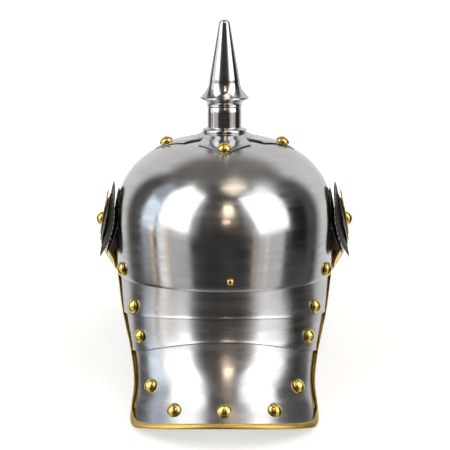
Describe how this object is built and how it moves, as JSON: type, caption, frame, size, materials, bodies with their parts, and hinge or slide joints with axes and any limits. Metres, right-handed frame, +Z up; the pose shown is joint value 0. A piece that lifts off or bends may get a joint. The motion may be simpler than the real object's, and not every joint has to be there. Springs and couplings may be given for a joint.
{
  "type": "pickelhaube",
  "caption": "Spiked steel helmet with a riveted neck guard of overlapping plates, brass edging, a scaled chin strap and side rosettes.",
  "frame": {"origin": "centre of the footprint at the level of the surface that the helmet stands on", "axes": "+Z up, +Y towards the back of the helmet (neck guard), -Y towards the peak, +X to the right as seen from the front"},
  "size_m": [0.2384, 0.346, 0.3071],
  "materials": {
    "steel": "polished bright, faint brushing and fine scratches",
    "brass": "polished, golden",
    "black_paint": "glossy black lacquer",
    "silver_paint": "silver white, satin",
    "leather": "dark, satin"
  },
  "bodies": {
    "root": {"skull": "steel", "cross_plate": "steel", "spike_neck": "steel", "spike": "steel", "upper_lame": "steel", "lower_lame": "steel", "tail_plate": "steel", "neck_trim": "brass", "peak": "steel", "peak_trim": "brass", "skull_rivet_left": "brass", "upper_lame_rivet_left": "brass", "lower_lame_rivet_left": "brass", "peak_rivet_left": "brass", "skull_rivet_right": "brass", "upper_lame_rivet_right": "brass", "lower_lame_rivet_right": "brass", "peak_rivet_right": "brass", "peak_rivet_middle": "brass", "rim_rivet": "brass", "tail_rivet_1": "brass", "tail_rivet_2": "brass", "tail_rivet_3": "brass", "tail_rivet_4": "brass", "tail_rivet_5": "brass", "cross_rivet_back": "brass", "cross_rivet_right": "brass", "cross_rivet_front": "brass", "cross_rivet_left": "brass", "chin_scales_right": "brass", "chin_scales_left": "brass", "chin_strap": "leather", "chin_clasp": "brass", "cockade_inner_right": "black_paint", "cockade_outer_right": "black_paint", "cockade_ring_right": "silver_paint", "cockade_washer_right": "black_paint", "cockade_plate_right": "brass", "rosette_rivet_right": "brass", "cockade_inner_left": "black_paint", "cockade_outer_left": "black_paint", "cockade_ring_left": "silver_paint", "cockade_washer_left": "black_paint", "cockade_plate_left": "brass", "rosette_rivet_left": "brass"}
  },
  "joints": []
}
